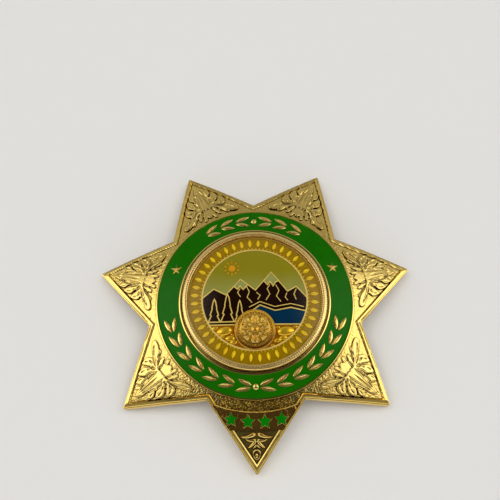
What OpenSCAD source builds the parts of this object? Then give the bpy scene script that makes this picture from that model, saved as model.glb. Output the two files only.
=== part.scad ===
// Seven-pointed police badge: a domed, gold plated star with a green enamel ring,
// a round enamelled seal under clear resin, and a plain pin on its back.
// Millimetres, +Z up, +Y towards the top of the badge, the back on z = 0.
// A level is a height above the domed back of the plate, measured straight up.

/* [Star] */
// Radius from the centre to the sharp tips
tip_r = 38; // [36:0.5:42]
// Radius to the notches between the points
notch_r = 24.9; // [24.6:0.1:26]
// Length that is rounded off each tip
tip_blunt = 0.3; // [0.2:0.1:0.6]
// How far the dome rises from the tips to the middle
dome_rise = 5.2; // [4.8:0.1:5.6]
// Height that is ground flat under each tip
foot_trim = 0.25; // [0.15:0.05:0.3]

/* [Rim] */
// Width of the low lip along the edge
lip_w = 0.35; // [0.25:0.05:0.5]
// Width from the edge to the inside of the raised rim
rim_w = 1.15; // [0.95:0.05:1.25]
// Width of the groove inside the rim
groove_w = 0.25; // [0.2:0.05:0.3]

/* [Levels of the plate] */
// Floor of the stippled fields
field_level = 2; // [1.8:0.1:2.2]
// Floor of the groove inside the rim
groove_level = 1.75; // [1.6:0.05:1.8]
// Top of the lip
lip_level = 2.2; // [2.1:0.05:2.3]
// Top of the rim, of the ring's borders and of its ornaments
rim_level = 2.5; // [2.4:0.05:2.6]
// Top of the scroll leaves
scroll_level = 2.35; // [2.25:0.05:2.4]

/* [Enamel ring] */
// Inner radius of the green enamel
ring_in_r = 17.5; // [17.4:0.05:17.6]
// Outer radius of the green enamel
ring_out_r = 22.4; // [22.2:0.05:22.5]
// Width of the raised border outside the enamel
border_w = 0.45; // [0.35:0.05:0.5]
// Width of the raised border inside the enamel
inner_border_w = 0.6; // [0.5:0.05:0.65]
// Floor of the enamel's channel
channel_level = 1.6; // [1.5:0.05:1.7]
// Top of the enamel
enamel_level = 2.4; // [2.3:0.05:2.45]
// Pairs of laurel leaves on each side of the upper branch
upper_pairs = 3; // [2:1:3]
// Pairs of laurel leaves on each side of the lower branch
lower_pairs = 7; // [6:1:7]
// Angle between two pairs of leaves
pair_step = 10.9; // [10.4:0.1:11]

/* [Bottom point] */
// Radius of the arc on which the four small stars sit
row_r = 27.3; // [27.2:0.05:27.4]
// Angle between two of the small stars
row_step = 8; // [7.8:0.1:8.1]
// Outer radius of a small star's gold edge
row_star_r = 1.6; // [1.55:0.01:1.65]

/* [Seal] */
// Outer radius of the seal
seal_r = 16.6; // [16.5:0.05:16.7]
// Half the width of the seal's rope edge
rope_r = 0.55; // [0.5:0.05:0.6]
// Inner radius of the seal's outer band
band_in_r = 12.25; // [12.2:0.05:12.3]
// Outer radius of the seal's outer band
band_out_r = 15.25; // [15.1:0.05:15.3]
// Radius of the picture in the middle
picture_r = 12; // [11.9:0.05:12.05]
// Top of the seal's gold lines
line_level = 2.45; // [2.4:0.05:2.5]
// Floor of the seal's enamel cells
cell_level = 2.05; // [2:0.05:2.1]
// Width of the gold lines between the cells
line_w = 0.26; // [0.22:0.02:0.3]
// Radius of the rosette at the foot of the picture
rosette_r = 4.5; // [4.2:0.1:4.6]
// Number of petals in the band
band_petals = 44; // [36:4:44]
// Level of the resin's top in the middle
resin_level = 3.7; // [3.5:0.1:3.9]

/* [Pin] */
// Length of the pin's wire
wire_len = 31; // [28:1:34]
// Diameter of the pin's wire
wire_d = 1.1; // [1:0.1:1.2]
// Height of the wire's axis
wire_z = 1.6; // [1.5:0.1:1.8]
// Distance of the wire above the star's centre
wire_y = 7; // [6:1:9]

/* [Hidden] */
$fn = 180;

points = 7;
half_step = 180 / points;
gap = 0.03; // clearance between an enamel fill and its cell
tall = 30; // height of the tools that cut right through

// Angles of the triangle from the centre to a tip and to the notch beside it
tip_half = atan2(notch_r * sin(half_step), tip_r - notch_r * cos(half_step));
notch_angle = 180 - half_step - tip_half;

dome_r = (tip_r * tip_r + dome_rise * dome_rise) / (2 * dome_rise);
blunt_r = tip_r - tip_blunt;
blunt_half = atan(tip_blunt * tan(tip_half) / blunt_r);
centre_y = (blunt_r - blunt_r * cos(half_step - blunt_half)) / 2;

middle_z = dome_rise - foot_trim;
pocket_r = ring_in_r - inner_border_w;
pocket_z = middle_z + 0.9;
seal_z = pocket_z + gap;
rope_ring_r = seal_r - rope_r;
rope_h = 1.6;
rope_crown_r = 0.62; // of the rope edge's rounded top
resin_r = seal_r - 2 * rope_r - gap;
resin_edge_level = 2.75;

// Height of the plate's domed back at a distance r from the middle
function rise(r) = sqrt(dome_r * dome_r - r * r) - dome_r + middle_z;

function polar(r, a) = [r * cos(a), r * sin(a)];

// The star's outline, moved inwards by inset
function star_outline(inset) = [
    for (i = [0 : 2 * points - 1])
        polar(i % 2 == 0 ? tip_r - inset / sin(tip_half) : notch_r - inset / sin(notch_angle),
            -90 + i * half_step)
];

// A five-pointed star standing on two points
function small_star(r) = [for (i = [0 : 9]) polar(i % 2 == 0 ? r : 0.42 * r, 90 + i * 36)];

// Half the width of a leaf at a share t of its length, and its outline round a bent centre line
function leaf_half(t, w, grow) = w / 2 * pow(sin(180 * pow(t, 0.85)), 0.75) + grow;
function leaf_mid(p, q, bend, t) =
    (1 - t) * p + t * q + 4 * t * (1 - t) * bend * [p[1] - q[1], q[0] - p[0]];
function leaf_edge(p, q, bend, t, w, grow, side) = leaf_mid(p, q, bend, t) + leaf_half(t, w, grow) * side;
function leaf_outline(p, q, w, bend = 0, grow = 0, steps = 6) =
    let (d = (q - p) / norm(q - p), across = [-d[1], d[0]])
    concat(
        [p - grow * d],
        [for (i = [1 : steps - 1]) leaf_edge(p, q, bend, i / steps, w, grow, -across)],
        [q + grow * d],
        [for (i = [steps - 1 : -1 : 1]) leaf_edge(p, q, bend, i / steps, w, grow, across)]
    );

// An anticlockwise outline moved inwards by d
function unit(v) = v / norm(v);
function side_in(p, q) = let (d = unit(q - p)) [-d[1], d[0]];
function inset_outline(pts, d) = [
    for (i = [0 : len(pts) - 1])
        let (n = len(pts), a = side_in(pts[(i + n - 1) % n], pts[i]), b = side_in(pts[i], pts[(i + 1) % n]))
        pts[i] + d * (a + b) / (1 + a * b)
];

// The outline of a line of width w through the points, with mitred corners
function corner_side(pts, i) =
    let (n = len(pts) - 1, a = side_in(pts[max(i - 1, 0)], pts[max(i, 1)]),
        b = side_in(pts[min(i, n - 1)], pts[min(i + 1, n)]))
    (a + b) / (1 + a * b);
function stroke(pts, w) = concat(
    [for (i = [0 : len(pts) - 1]) pts[i] - w / 2 * corner_side(pts, i)],
    [for (i = [len(pts) - 1 : -1 : 0]) pts[i] + w / 2 * corner_side(pts, i)]
);

// Everything below the domed surface at a level
module dome_solid(level) {
    translate([0, 0, level - dome_r + middle_z]) sphere(r = dome_r, $fn = 360);
}

// The 2D children raised from one level to another
module between(low, high) {
    difference() {
        intersection() {
            linear_extrude(tall) children();
            dome_solid(high);
        }
        dome_solid(low);
    }
}

// The 2D children cut away above a level
module above(level) {
    difference() {
        linear_extrude(tall) children();
        dome_solid(level);
    }
}

module centred() {
    translate([0, centre_y, 0]) children();
}

// Half of a point's scroll work. Each leaf starts and ends so far out along the point and so far
// across it, and its bend is a share of its length.
scroll_leaves = [ // out_0, across_0, out_1, across_1, width, bend
    [26.6, 0.9, 24.0, 7.0, 2.2, -0.08],
    [26.6, 0.9, 27.7, 4.7, 1.7, 0.06],
    [27.6, 0.7, 29.6, 3.5, 1.7, 0.06],
    [29.0, 0.5, 31.4, 2.3, 1.5, 0.06],
    [30.6, 0.3, 33.2, 1.1, 1.2, 0.05],
    [26.3, 1.8, 24.1, 4.4, 1.3, 0.05],
    [26.1, 1.2, 24.0, 2.7, 1.2, 0.05],
    [26.0, 0.5, 24.1, 1.0, 1.1, 0.05]
];
scroll_middle = [[25.2, 0, 34.9, 0, 2.3, 0]];

// Half of the bottom point's small scroll, and its middle, in the same columns
bud_leaves = [ // out_0, across_0, out_1, across_1, width, bend
    [29.7, 0.2, 30.4, 3.5, 0.8, -0.12],
    [31.0, 0.2, 30.9, 2.5, 0.7, -0.08],
    [31.5, 0.2, 32.8, 1.9, 0.75, -0.1],
    [32.0, -0.15, 32.8, 0.9, 0.45, 0]
];
bud_middle = [[33.1, 0, 35.1, 0, 1.4, 0]];

hub_out = 26.7; // where the leaves of an upper point meet
hub_r = 1.8; // of the boss under their meeting ends

module scroll(sides, middle) {
    for (m = middle) polygon(leaf_outline([m[1], m[0]], [m[3], m[2]], m[4]));
    for (s = sides, side = [-1, 1])
        polygon(leaf_outline([side * s[1], s[0]], [side * s[3], s[2]], s[4], -side * s[5]));
}

// The scroll work of all seven points, with the bottom point as the first
module scrolls() {
    for (i = [1 : points - 1]) rotate(180 + i * 360 / points) {
        scroll(scroll_leaves, scroll_middle);
        translate([0, hub_out]) circle(r = hub_r, $fn = 32);
    }
    rotate(180) scroll(bud_leaves, bud_middle);
}

// The ring's ornaments: two laurel branches, a berry between their halves, and two small stars
leaf_len = 3.2;
leaf_w = 1.1;
leaf_root = 0.28; // how far a leaf starts from the branch's middle line
leaf_spread = 1.0; // how far its tip stands off from there
first_pair = 3; // angle from the berry to the nearest end of a leaf
upper_shift = 0.85; // of a step, because the upper leaves point at the berry
berry_r = 0.7;
ring_star_r = 1.15;
star_angle = 23; // of the small stars, above the horizontal
ring_mid_r = (ring_in_r + ring_out_r) / 2;

module laurel_pair(a, turn, grow) {
    leaf_angle = 360 * leaf_len / (2 * PI * ring_mid_r);
    for (out = [-1, 1])
        polygon(leaf_outline(
            polar(ring_mid_r + out * leaf_root, a),
            polar(ring_mid_r + out * (leaf_root + leaf_spread), a + turn * leaf_angle),
            leaf_w, 0, grow));
}

// A branch on both sides of a berry, with the leaves' tips towards the berry or away from it
module laurel_branch(middle, pairs, away, grow) {
    translate(polar(ring_mid_r, middle)) circle(r = berry_r + grow, $fn = 32);
    for (side = [-1, 1], i = [0 : pairs - 1])
        laurel_pair(middle + side * (first_pair + (i + (away ? 0 : upper_shift)) * pair_step),
            side * (away ? 1 : -1), grow);
}

module ring_ornaments(grow = 0) {
    laurel_branch(90, upper_pairs, false, grow);
    laurel_branch(-90, lower_pairs, true, grow);
    for (a = [star_angle, 180 - star_angle])
        translate(polar(ring_mid_r, a)) polygon(small_star(ring_star_r + grow * 2));
}

module ring(r_in, r_out) {
    difference() {
        circle(r = r_out);
        circle(r = r_in);
    }
}

// The bottom point: a stippled band under an arc, four stars, and a frame round the small scroll
arc_r = 25;
arc_w = 0.3;
frame_out = 29; // where the frame starts, out along the point
frame_w = 0.3;
row_cell_r = row_star_r - 0.42;
row_enamel_r = row_star_r - 0.5;
row_enamel_level = 2.25;

module bottom_sector() {
    polygon([[0, 0], polar(2 * tip_r, -90 - half_step), polar(2 * tip_r, -90 + half_step)]);
}

module row_places() {
    for (i = [0 : 3]) rotate((i - 1.5) * row_step) translate([0, -row_r]) children();
}

module frame_area(inset) {
    intersection() {
        polygon(star_outline(rim_w + inset));
        translate([-tip_r, -tip_r]) square([2 * tip_r, tip_r - frame_out]);
    }
}

module bottom_raised() {
    intersection() {
        ring(arc_r, arc_r + arc_w);
        bottom_sector();
        polygon(star_outline(rim_w + groove_w / 2));
    }
    row_places() polygon(small_star(row_star_r));
    difference() {
        frame_area(groove_w);
        frame_area(groove_w + frame_w);
    }
}

module star_plate() {
    color([0.83, 0.63, 0.27]) centred() difference() {
        intersection() {
            linear_extrude(tall) intersection() {
                polygon(star_outline(0));
                circle(r = blunt_r);
            }
            dome_solid(rim_level);
        }
        dome_solid(0);
        // the low lip along the edge
        above(lip_level) difference() {
            circle(r = tip_r + 2);
            polygon(star_outline(lip_w));
        }
        // the fields, round the ring, the scroll work and the bottom point's raised edges
        above(field_level) difference() {
            polygon(star_outline(rim_w));
            circle(r = ring_out_r + border_w);
            scrolls();
            bottom_raised();
        }
        // the groove inside the rim
        above(groove_level) difference() {
            polygon(star_outline(rim_w));
            polygon(star_outline(rim_w + groove_w));
            circle(r = ring_out_r + border_w);
        }
        // the leaves, lower than the rim
        above(scroll_level) difference() {
            polygon(star_outline(rim_w + groove_w));
            circle(r = ring_out_r + border_w);
        }
        // the cells of the four small stars
        above(channel_level) row_places() polygon(small_star(row_cell_r));
        // the channel of the green enamel
        above(channel_level) difference() {
            ring(ring_in_r, ring_out_r);
            ring_ornaments();
        }
        translate([0, 0, pocket_z]) cylinder(r = pocket_r, h = tall);
    }
}

module ring_enamel() {
    color([0.05, 0.36, 0.02]) centred() between(channel_level + gap, enamel_level) difference() {
        ring(ring_in_r + gap, ring_out_r - gap);
        ring_ornaments(gap);
    }
}

module point_enamel(i) {
    color([0.05, 0.36, 0.02]) centred() between(channel_level + gap, row_enamel_level)
        rotate((i - 2.5) * row_step) translate([0, -row_r]) polygon(small_star(row_enamel_r));
}

// The picture in the seal: a skyline of hills, a lake before them and a meadow at the foot
skyline = [[-13, -0.6], [-9.4, 2.4], [-6.6, 0.9], [-3.2, 4.6], [0.2, 1.9], [3.9, 6.3], [7.6, 1.6],
    [9.6, 2.8], [13, -1]];
shore = [[13, -3.4], [8.2, -2.3], [4.6, -3.0], [1.2, -1.7], [-0.9, -3.2], [0.9, -4.6], [-1.6, -6.2]];
foot_y = -6.2;
function reversed(pts) = [for (i = [len(pts) - 1 : -1 : 0]) pts[i]];
hill_area = concat([[-13, foot_y]], reversed(shore), reversed(skyline));
sky_area = concat(skyline, [[13, 13], [-13, 13]]);
lake_area = concat([[-1.6, foot_y], [13, foot_y]], [for (i = [0 : len(shore) - 2]) shore[i]]);
meadow_area = [[-13, -13], [13, -13], [13, foot_y], [-13, foot_y]];
// The pale caps of the two high hills: the summit and the ragged line below it
snow_areas = [
    [[3.9, 6.3], [2.15, 4.15], [3.0, 3.2], [3.6, 4.0], [4.3, 2.9], [4.9, 3.9], [5.6, 4.15]],
    [[-3.2, 4.6], [-4.75, 2.9], [-3.9, 2.2], [-3.3, 2.9], [-2.6, 2.1], [-1.55, 3.3]]
];
// Gold lines down the hills' ridges and along their foot
ridge_w = 0.2;
ridge_lines = [
    [[3.6, 3.3], [2.9, 2.2], [3.5, 0.9], [2.6, -0.5]],
    [[4.9, 3.2], [5.6, 1.8], [5.0, 0.4], [6.0, -0.9]],
    [[-3.3, 2.3], [-3.9, 1.4], [-3.2, 0.3]],
    [[-1.9, 3.0], [-1.2, 1.5], [-1.7, 0.2], [-0.6, -1.1]],
    [[0.4, 1.4], [1.3, 0.6], [0.7, -0.4]],
    [[7.4, 1.2], [7.0, 0.1], [7.6, -0.6]],
    [[9.6, 2.2], [9.0, 0.9], [9.5, -0.4]],
    [[-1.3, -2.2], [1.2, -0.9], [4.6, -2.1], [8.2, -1.4], [11.2, -2.1]]
];
sun_at = [-5.2, 7.4];
sun_r = 0.8;
sun_rays = 10;
ray_in = 1.15; // where a ray starts and ends, from the sun's middle
ray_out = 1.92;
ray_w = 0.36;
conifers = [ // x, foot, height, width
    [-9.2, -5.5, 5.4, 2.7],
    [-6.2, -5.5, 6.5, 3.1],
    [-3.4, -5.5, 4.9, 2.3]
];
tiers = 3;
tier_waist = 0.5; // width at a tier's top as a share of the width at its foot
tier_taper = 0.294; // share of the width that each tier loses
tiers_share = 0.92; // of the height, under the pointed top
function conifer_side(w, h) = [
    for (i = [0 : tiers - 1], edge = [0, 1])
        [w / 2 * (1 - i * tier_taper) * (edge == 0 ? 1 : tier_waist),
            h * tiers_share * (i + edge * 0.9) / tiers]
];
function conifer(c) = concat(
    [for (p = conifer_side(c[3], c[2])) [c[0] + p[0], c[1] + p[1]]],
    [[c[0], c[1] + c[2]]],
    [for (p = reversed(conifer_side(c[3], c[2]))) [c[0] - p[0], c[1] + p[1]]]
);

rosette_y = -7.4;
rosette_level = 2.9;
rosette_petals = 8;
rosette_edge_w = 0.5;
rosette_middle_r = 0.95;
rosette_petal_w = 1.9;
rosette_in = 1.2; // where a petal starts and ends
rosette_out = rosette_r - 0.75;

module in_picture(r, rosette_room) {
    difference() {
        intersection() {
            circle(r = r);
            children();
        }
        translate([0, rosette_y]) circle(r = rosette_r + rosette_room);
    }
}

// A cell of the picture, or with shrink the enamel that fills it
module cell(area, shrink = 0) {
    in_picture(picture_r - line_w / 2 - shrink, line_w / 2 + shrink)
        polygon(inset_outline(area, line_w / 2 + shrink));
}

module hill_cell(shrink = 0) {
    difference() {
        cell(hill_area, shrink);
        for (s = snow_areas) polygon(inset_outline(s, -line_w / 2 - shrink));
        for (l = ridge_lines) polygon(stroke(l, ridge_w + 2 * shrink));
        for (c = conifers) difference() {
            polygon(inset_outline(conifer(c), -line_w / 2 - shrink));
            polygon(inset_outline(conifer(c), line_w / 2 + shrink));
        }
    }
}

module sky_cell(shrink = 0) {
    difference() {
        cell(sky_area, shrink);
        translate(sun_at) {
            circle(r = sun_r + shrink, $fn = 48);
            for (i = [0 : sun_rays - 1]) rotate(i * 360 / sun_rays)
                polygon(leaf_outline([0, ray_in], [0, ray_out], ray_w, 0, shrink));
        }
    }
}

module snow_cell(shrink = 0) {
    for (s = snow_areas) polygon(inset_outline(s, line_w / 2 + shrink));
}

petal_ends = [band_in_r + 0.55, band_out_r - 0.45];
petal_w = 0.8;

module band_cell(shrink = 0) {
    difference() {
        ring(band_in_r + shrink, band_out_r - shrink);
        for (i = [0 : band_petals - 1]) rotate((i + 0.5) * 360 / band_petals)
            polygon(leaf_outline([0, petal_ends[0]], [0, petal_ends[1]], petal_w, 0, shrink));
    }
}

module rosette() {
    translate([0, rosette_y]) difference() {
        circle(r = rosette_r);
        difference() {
            circle(r = rosette_r - rosette_edge_w);
            circle(r = rosette_middle_r, $fn = 48);
            for (i = [0 : rosette_petals - 1]) rotate(i * 360 / rosette_petals)
                polygon(leaf_outline([0, rosette_in], [0, rosette_out], rosette_petal_w));
        }
    }
}

module seal_disc() {
    color([0.80, 0.60, 0.22]) centred() {
        difference() {
            intersection() {
                translate([0, 0, seal_z]) cylinder(r = rope_ring_r, h = tall);
                dome_solid(line_level);
            }
            above(cell_level) {
                band_cell();
                sky_cell();
                hill_cell();
                snow_cell();
                cell(lake_area);
                cell(meadow_area);
            }
        }
        translate([0, 0, seal_z]) rotate_extrude() translate([rope_ring_r, 0]) intersection() {
            translate([-rope_r, 0]) square([2 * rope_r, 2 * rope_r]);
            translate([0, rope_h - rope_crown_r]) circle(r = rope_crown_r);
        }
        between(cell_level, rosette_level) rosette();
    }
}

fill_level = 2.36; // top of the seal's enamels

module fill() {
    centred() between(cell_level + gap, fill_level) children();
}

module band_enamel() color([0.55, 0.45, 0.05]) fill() band_cell(gap);
module sky_enamel() color([0.48, 0.46, 0.12]) fill() sky_cell(gap);
module hill_enamel() color([0.10, 0.04, 0.03]) fill() hill_cell(gap);
module snow_enamel() color([0.50, 0.54, 0.34]) fill() snow_cell(gap);
module lake_enamel() color([0.02, 0.10, 0.35]) fill() cell(lake_area, gap);
module meadow_enamel() color([0.80, 0.60, 0.05]) fill() cell(meadow_area, gap);

// Radius of the resin's own round top, through its middle and its edge
resin_top_z = middle_z + resin_level;
resin_edge_z = rise(resin_r) + resin_edge_level;
resin_sag = resin_top_z - resin_edge_z;
resin_dome_r = (resin_r * resin_r + resin_sag * resin_sag) / (2 * resin_sag);

module resin_dome() {
    color([0.9, 0.88, 0.6, 0.35]) centred() difference() {
        intersection() {
            cylinder(r = resin_r, h = tall);
            translate([0, 0, resin_top_z - resin_dome_r]) sphere(r = resin_dome_r, $fn = 360);
        }
        dome_solid(line_level + gap);
        intersection() {
            translate([0, rosette_y]) cylinder(r = rosette_r + gap, h = tall);
            dome_solid(rosette_level + gap);
        }
    }
}

joint_size = [5, 5];
catch_size = [4, 4.4];
foot_z = 0.7;

module pin_foot(x, size) {
    translate([x - size[0] / 2, wire_y - size[1] / 2, foot_z]) cube([size[0], size[1], tall]);
}

module back_pin() {
    color([0.80, 0.62, 0.30]) centred() {
        translate([-wire_len / 2, wire_y, wire_z]) rotate([0, 90, 0]) cylinder(d = wire_d, h = wire_len);
        intersection() {
            union() {
                pin_foot(-wire_len / 2, joint_size);
                pin_foot(wire_len / 2, catch_size);
            }
            dome_solid(-gap);
        }
    }
}

star_plate();
ring_enamel();
point_enamel(1);  // point_enamel_1
point_enamel(2);  // point_enamel_2
point_enamel(3);  // point_enamel_3
point_enamel(4);  // point_enamel_4
seal_disc();
band_enamel();
sky_enamel();
hill_enamel();
snow_enamel();
lake_enamel();
meadow_enamel();
resin_dome();
back_pin();
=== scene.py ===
# Seven-point star badge: gold plated star, green enamel ring, enamelled seal under clear resin.
# Pieces are drawn flat, in millimetres round the star's centre, and then laid on the plate's dome.
import math
import random

import bmesh
import bpy
from mathutils import Matrix, Vector


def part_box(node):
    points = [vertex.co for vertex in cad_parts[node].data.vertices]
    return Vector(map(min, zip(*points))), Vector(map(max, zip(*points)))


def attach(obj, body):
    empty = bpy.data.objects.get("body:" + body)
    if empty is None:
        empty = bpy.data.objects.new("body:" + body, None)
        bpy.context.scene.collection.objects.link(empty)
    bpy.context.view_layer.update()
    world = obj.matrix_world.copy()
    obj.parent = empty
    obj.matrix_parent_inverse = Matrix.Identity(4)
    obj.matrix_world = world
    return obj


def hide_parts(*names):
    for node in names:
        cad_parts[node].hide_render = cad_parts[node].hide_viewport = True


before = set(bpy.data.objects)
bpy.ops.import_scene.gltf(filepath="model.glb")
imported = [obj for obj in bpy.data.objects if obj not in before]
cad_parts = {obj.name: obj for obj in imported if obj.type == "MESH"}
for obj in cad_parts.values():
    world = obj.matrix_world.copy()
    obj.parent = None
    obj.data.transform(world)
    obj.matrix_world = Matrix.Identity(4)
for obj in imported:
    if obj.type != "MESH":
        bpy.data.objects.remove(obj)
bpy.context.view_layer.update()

star = {
    "points": 7,
    "tipRadius": 38.0,
    "notchRadius": 24.9,
    "tipCut": 0.3,  # how much is rounded off each sharp tip
    "domeRadius": 141.45,
    "middleHeight": 4.95,  # of the plate's back above the table
    "fieldLevel": 2.0,
    "rimLevel": 2.5,
}
millimetre = 0.001
stepAngle = 360 / star["points"]
halfStep = math.radians(stepAngle / 2)
tipHalf = math.atan2(
    star["notchRadius"] * math.sin(halfStep), star["tipRadius"] - star["notchRadius"] * math.cos(halfStep)
)
notchAngle = math.pi - halfStep - tipHalf
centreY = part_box("star_plate")[0].y / millimetre + star["tipRadius"] - star["tipCut"]


def rise(radius):  # height of the plate's domed back
    return math.sqrt(star["domeRadius"] ** 2 - radius**2) - star["domeRadius"] + star["middleHeight"]


def polar(radius, degrees):
    return radius * math.cos(math.radians(degrees)), radius * math.sin(math.radians(degrees))


# Camera at the photograph's viewing angle, some 18 degrees off the vertical. Places are millimetres
# from the star's middle and above the table, roll is in degrees and lens in millimetres.
view = {"place": (0.999, -47.491, 147.69), "aim": (-1.0, 14.05, 2.25), "roll": -2.65, "lens": 46.6}

bpy.ops.object.camera_add()
camera = bpy.context.object
camera.data.lens = view["lens"]
camera.data.sensor_width = 36
camera.data.clip_start = 0.005
place = Vector((view["place"][0], view["place"][1] + centreY, view["place"][2])) * millimetre
aim = Vector((view["aim"][0], view["aim"][1] + centreY, view["aim"][2])) * millimetre
camera.location = place
roll = Matrix.Rotation(math.radians(view["roll"]), 3, "Z")
camera.rotation_euler = ((aim - place).to_track_quat("-Z", "Y").to_matrix() @ roll).to_euler()
bpy.context.scene.camera = camera
bpy.context.scene.view_settings.view_transform = "Standard"


def linear(hexColour):
    channels = [int(hexColour[i : i + 2], 16) / 255 for i in (0, 2, 4)]
    return tuple(c / 12.92 if c <= 0.04045 else ((c + 0.055) / 1.055) ** 2.4 for c in channels) + (1.0,)


def addNode(tree, kind, settings=None, inputs=None):  # an input is a value or another node's output
    node = tree.nodes.new("ShaderNode" + kind)
    for name, value in (settings or {}).items():
        setattr(node, name, value)
    for name, value in (inputs or {}).items():
        if isinstance(value, bpy.types.NodeSocket):
            tree.links.new(value, node.inputs[name])
        else:
            node.inputs[name].default_value = value
    return node


# Soft studio light all round, by direction: dark where the camera stands, a wide soft light at each
# side, a dimmer one behind the badge and one in front, and a low bright window far in front, which
# draws the bright lines along the lower rims. Each has the slopes between which it fades in and out,
# sideways and towards the back. A fill lamp lights the table and the enamels.
studio = {
    "dark": 0.045,
    "sides": {"sideways": (0.20, 0.50), "low": (-0.26, 0.04), "high": (0.68, 0.36), "brightness": 1.75},
    "flanks": {"sideways": (0.20, 0.60), "low": (-0.9, -0.6), "high": (3.0, 2.0), "brightness": 0.14},
    "behind": {"sideways": (-1.0, -0.9), "low": (0.50, 0.95), "high": (9.0, 8.0), "brightness": 0.30},
    "front": {"sideways": (-1.0, -0.9), "low": (-9.0, -8.0), "high": (-0.48, -1.0), "brightness": 0.26},
    "window": {"sideways": (-1.0, -0.9), "low": (-12.0, -9.0), "high": (-1.7, -2.5), "brightness": 1.2},
    "tint": (1.0, 0.985, 0.96, 1),
    "fill": {"height": 0.90, "side": 1.30, "brightness": 0.80},
    "table": {"size": 3, "location": (0, 0, -0.00005)},  # just below the badge's feet
    "paper": "ECEBE9",
}


def makeStudio():
    world = bpy.data.worlds.new("studio")
    bpy.context.scene.world = world
    world.use_nodes = True
    tree = world.node_tree
    tree.nodes.clear()
    direction = addNode(tree, "TexCoord").outputs["Generated"]
    way = addNode(tree, "SeparateXYZ", inputs={"Vector": direction})
    above = addNode(tree, "Math", {"operation": "MAXIMUM"}, {0: way.outputs["Z"], 1: 0.02})
    aside = addNode(tree, "Math", {"operation": "ABSOLUTE"}, {0: way.outputs["X"]})
    slopes = []
    for part in (aside.outputs["Value"], way.outputs["Y"]):
        slope = addNode(tree, "Math", {"operation": "DIVIDE"}, {0: part, 1: above.outputs["Value"]})
        slopes.append(slope.outputs["Value"])
    sideways, back = slopes
    total = studio["dark"]
    for name in ("sides", "flanks", "behind", "front", "window"):
        light = studio[name]
        share = light["brightness"]
        for slope, key in ((sideways, "sideways"), (back, "low"), (back, "high")):
            none, full = light[key]
            limits = {"Value": slope, "From Min": none, "From Max": full}
            fade = addNode(tree, "MapRange", {"interpolation_type": "SMOOTHSTEP"}, limits)
            both = {0: fade.outputs["Result"], 1: share}
            share = addNode(tree, "Math", {"operation": "MULTIPLY"}, both).outputs["Value"]
        total = addNode(tree, "Math", {"operation": "ADD"}, {0: share, 1: total}).outputs["Value"]
    sky = addNode(tree, "Background", inputs={"Color": studio["tint"], "Strength": total})
    addNode(tree, "OutputWorld", inputs={"Surface": sky.outputs["Background"]})
    fill = studio["fill"]
    bpy.ops.object.light_add(type="AREA", location=(0, 0, fill["height"]))
    lamp = bpy.context.object
    lamp.data.size = fill["side"]
    lamp.data.energy = fill["brightness"] * math.pi * fill["side"] ** 2
    lamp.visible_glossy = False
    bpy.ops.mesh.primitive_plane_add(**studio["table"])
    table = bpy.context.object
    table.name = "table"
    table.data.materials.append(paper(studio["paper"]))


# Materials: every pattern is on Object coordinates, in metres

colourMix = {"data_type": "RGBA"}


def newMaterial(name):
    material = bpy.data.materials.new(name)
    material.use_nodes = True
    material.node_tree.nodes.clear()
    return material, material.node_tree


def finishMaterial(tree, sockets):
    shader = addNode(tree, "BsdfPrincipled", inputs=sockets)
    addNode(tree, "OutputMaterial", inputs={"Surface": shader.outputs["BSDF"]})


def perMetre(spacingMm):  # pattern scale for a spacing in millimetres
    return 1 / (spacingMm * millimetre)


# Brass under gold plate: its colour drifts a little over 6 mm and its gloss over 2.5 mm, as handled
# plate does, and painted shade, standing partly for old dirt, darkens the corners within reach of one another
def goldPlate(name, colours, roughness, bumps=(), crease=(0.1, 0.55), dirtAndShade="3A1F06", reachMm=0.4, metal=1.0):
    material, tree = newMaterial(name)
    where = addNode(tree, "TexCoord").outputs["Object"]
    # Painted shade: corners and creases found by ambient occlusion are darkened towards the given brown
    limits = {"Distance": reachMm * millimetre, "Color": (1, 1, 1, 1)}
    crevice = addNode(tree, "AmbientOcclusion", {"samples": 6}, limits)
    limits = {"Value": crevice.outputs["AO"], "From Min": crease[0], "From Max": crease[1]}
    awayFromCrease = addNode(tree, "MapRange", inputs=limits)
    cloud = addNode(tree, "TexNoise", inputs={"Vector": where, "Scale": perMetre(6), "Detail": 3.0})
    shades = {"Factor": cloud.outputs["Fac"], "A": linear(colours[0]), "B": linear(colours[1])}
    tone = addNode(tree, "Mix", colourMix, shades)
    shades = {"Factor": awayFromCrease.outputs["Result"], "A": linear(dirtAndShade), "B": tone.outputs["Result"]}
    base = addNode(tree, "Mix", colourMix, shades)
    smear = addNode(tree, "TexNoise", inputs={"Vector": where, "Scale": perMetre(2.5), "Detail": 4.0})
    limits = {"Value": smear.outputs["Fac"], "To Min": roughness * 0.7, "To Max": roughness * 1.4}
    dull = addNode(tree, "MapRange", inputs=limits)
    below = {}
    for kind, spacingMm, depthMm in bumps:  # each bump lies over the one before it
        height = bumpPattern(tree, kind, where, spacingMm)
        bump = addNode(tree, "Bump", inputs={"Height": height, "Distance": depthMm * millimetre, **below})
        below = {"Normal": bump.outputs["Normal"]}
    shine = {"Metallic": metal, "Roughness": dull.outputs["Result"]}
    finishMaterial(tree, {"Base Color": base.outputs["Result"], **shine, **below})
    return material


def bumpPattern(tree, kind, where, spacingMm):
    inputs = {"Vector": where, "Scale": perMetre(spacingMm)}
    if kind == "grains":
        return addNode(tree, "TexVoronoi", {"feature": "SMOOTH_F1"}, inputs).outputs["Distance"]
    if kind == "hatch":  # a wave's bands repeat every pi / 10 of its scale
        inputs = {"Vector": where, "Scale": perMetre(spacingMm) * math.pi / 10, "Distortion": 0.4}
        settings = {"wave_type": "BANDS", "bands_direction": "DIAGONAL"}
        return addNode(tree, "TexWave", settings, inputs).outputs["Fac"]
    inputs["Detail"] = 2.0
    return addNode(tree, "TexNoise", inputs=inputs).outputs["Fac"]


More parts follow.
